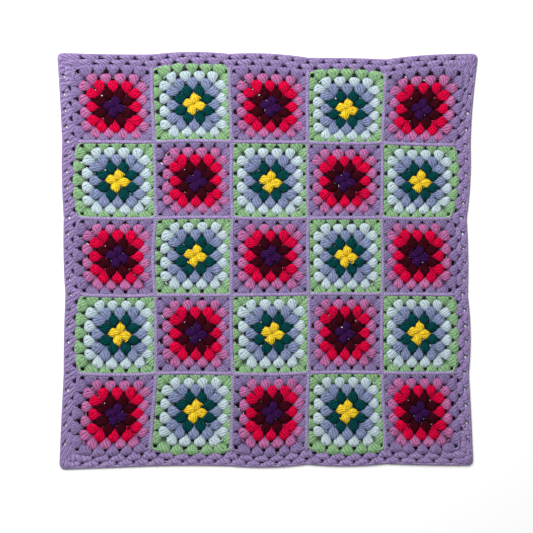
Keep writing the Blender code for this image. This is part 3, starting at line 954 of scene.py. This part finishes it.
inner_places = rim_places(CLUSTER_STEP, SIDE - CLUSTER_STEP / 2, INNER_CORNER)
outer_places = rim_places(CLUSTER_STEP / 2, SIDE, OUTER_CORNER)
print("clusters in the border:", len(inner_places), "and", len(outer_places))

# %% The border
RIDGE_HALF = 2.4  # mm, the half width of the border's two ridges
EDGE_OUT, EDGE_HIGH = BORDER_DEEP - 1.7, 2.6  # mm, of the ridge along the blanket's edge
FOOT_OUT, FOOT_HIGH = 0.5, 2.0  # mm, of the one where the border meets the squares
DARK_OUT, DARK_HALF, DARK_HIGH = 5.6, 3.0, 0.5  # mm, of a strand under the inner round, painted black as the shade at the bottom of its holes
airy = (inner_places // SIDE) % 2 == 1  # on the left and right sides the floor shows in the holes
border_batches = border_round(inner_places[~airy], INNER_OUT, INNER_LONG, INNER_BAND)
border_batches += border_round(inner_places[airy], INNER_OUT, INNER_LONG, OUTER_BAND)
border_batches += border_round(outer_places, OUTER_OUT, OUTER_LONG, OUTER_BAND)
along = np.arange(0, ALL_ROUND * PITCH, LINK)
# painted light and shade, with tones that differ at random: the edge ridge is drawn lit, the foot ridge
# where the border meets the squares in shade
edge_tone = 0.5 + 0.4 * rng.random(len(along))
foot_tone = 0.4 * rng.random(len(along))
dark_line = np.column_stack([np.full(len(along), DARK_OUT), along, np.full(len(along), HOLE_FLOOR)])
long_strands = [
    *ridge(along, EDGE_OUT, RIDGE_HALF, EDGE_HIGH, edge_tone, 0),
    *ridge(along, FOOT_OUT, RIDGE_HALF, FOOT_HIGH, foot_tone, 0),
    strand_batch(dark_line[None], DARK_HALF, DARK_HIGH, LONG_SIDES, -1.0, 0),
]
for batch in long_strands:  # made along +Y, so they are mirrored to lie along the rim
    batch["points"] = batch["points"][..., [1, 0, 2]]
    batch["quads"] = batch["quads"][:, ::-1]
    batch["fans"] = batch["fans"][:, ::-1]
    border_batches.append(batch)
border = yarn_object("border_rounds", border_batches, (LILAC,), border_place)
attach(border, "root")
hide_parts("border")
every = [*squares, *seams, border]
print("border:", triangles(border), "triangles, the blanket:", sum(triangles(p) for p in every))

# %% [markdown]
# Each square is a piece of cloth that was worked flat, and its flat size is worked out below. Crochet
# hardly stretches once it is blocked, so that is the size that the square has where it lies: between
# the middles of its seams, and a little beyond the last seam where the border begins. The seams and the
# border were worked onto the squares.


# %% Measuring a piece where it lies
def area_and_round(line):
    """The area inside a closed line and the length round it, in mm."""
    x, y = line.T
    step = np.diff(line, axis=0, append=line[:1])
    return abs(np.sum(x * np.roll(y, -1) - y * np.roll(x, -1))) / 2, np.linalg.norm(step, axis=1).sum()


there = np.arange(20) / 20
INSIDE = 0.999  # just short of the next square
EDGE_U = np.concatenate([there, 0 * there + 1, 1 - there, 0 * there]) * INSIDE
EDGE_V = np.concatenate([0 * there, there, 0 * there + 1, 1 - there]) * INSIDE
whole_area, whole_round = area_and_round(outer_line)
inner_area, inner_round = area_and_round(lie(*rim(np.arange(0, ALL_ROUND, CLUSTER_STEP / 2))))
strip_long = (whole_round + inner_round) / 2
strip_wide = (whole_area - inner_area) / strip_long
print(f"border: a strip {strip_long:.0f} mm long and {strip_wide:.1f} mm wide on average")

# %% Each square's flat size where it lies, and the seams that join it
for number, piece in enumerate(squares):
    row, column = divmod(number, SIDE)
    edge = lie(column + EDGE_U, row + EDGE_V)
    wide, long = edge.max(axis=0) - edge.min(axis=0)
    fuller = math.sqrt(area_and_round(edge)[0] / (wide * long))
    wide = wide * fuller + FREE_REACH * (column in (0, SIDE - 1))
    long = long * fuller + FREE_REACH * (row in (0, SIDE - 1))
    joined_by = [p for p in seams if p.name == f"level_seam_{row + 1}_{column + 1}"]
    if row == 0:
        joined_by += [p for p in seams if p.name == f"upright_seam_{column + 1}"]
    if number == 0:
        joined_by.append(border)
    if number in (0, len(squares) // 2):
        print(f"{piece.name}: {wide:.1f} by {long:.1f} mm flat")

# %% [markdown]
# The blanket lies on a plain white floor, in soft daylight from the far left and in the light of a
# pale room. A sun would draw hard shadows between the stitches, so the window is a lamp two metres
# wide.

# %% Floor and light
FLOOR_HALF = 4.0  # m
corners = [(x * FLOOR_HALF, y * FLOOR_HALF, 0) for x, y in ((-1, -1), (1, -1), (1, 1), (-1, 1))]
mesh = bpy.data.meshes.new("floor")
mesh.from_pydata(corners, [], [(0, 1, 2, 3)])
floor = bpy.data.objects.new("floor", mesh)
bpy.context.scene.collection.objects.link(floor)
paint = bpy.data.materials.new("matt_white_floor")  # even and pale, so that the blanket stands out
paint.use_nodes = True
coat = paint.node_tree.nodes["Principled BSDF"].inputs
coat["Base Color"].default_value = linear("#FFFFFF")
coat["Roughness"].default_value = 0.9
mesh.materials.append(paint)

world = bpy.data.worlds.new("soft_room")
bpy.context.scene.world = world
world.use_nodes = True
room = world.node_tree.nodes["Background"].inputs
room["Color"].default_value = (1, 1, 1, 1)
room["Strength"].default_value = 0.34  # fills the shadows

lamp = bpy.data.lights.new("window", "AREA")
lamp.energy = 169.0  # W
lamp.size = 2.0  # m
window = bpy.data.objects.new("window", lamp)
window.location = (-1.25, 2.15, 2.1)  # m
window.rotation_euler = (-window.location).to_track_quat("-Z", "Y").to_euler()
bpy.context.scene.collection.objects.link(window)
print("window, in metres from the blanket's middle:", round(window.location.length, 2))

# %% [markdown]
# The camera looks straight down. Its lens is worked out from the size of one pixel on the floor, and
# its place from where the blanket's middle is in the view, so that the render can be laid over the
# photograph.

# %% Camera
PIXEL = 1.78 * MM  # of the photograph, on the floor
VIEW_PIXELS = 533
BOX_MIDDLE_PIXEL = (267.5, 260.5)  # from the left and from the top
HEIGHT = 3.0  # m
camera_data = bpy.data.cameras.new("camera")
camera_data.sensor_width = 36.0
camera_data.lens = camera_data.sensor_width * HEIGHT / (VIEW_PIXELS * PIXEL)
camera = bpy.data.objects.new("camera", camera_data)
right, down = (VIEW_PIXELS / 2 - pixel for pixel in BOX_MIDDLE_PIXEL)
camera.location = (right * PIXEL, -down * PIXEL, HEIGHT)
bpy.context.scene.collection.objects.link(camera)
bpy.context.scene.camera = camera
bpy.context.scene.view_settings.view_transform = "Standard"
print("lens:", round(camera_data.lens, 1), "mm")
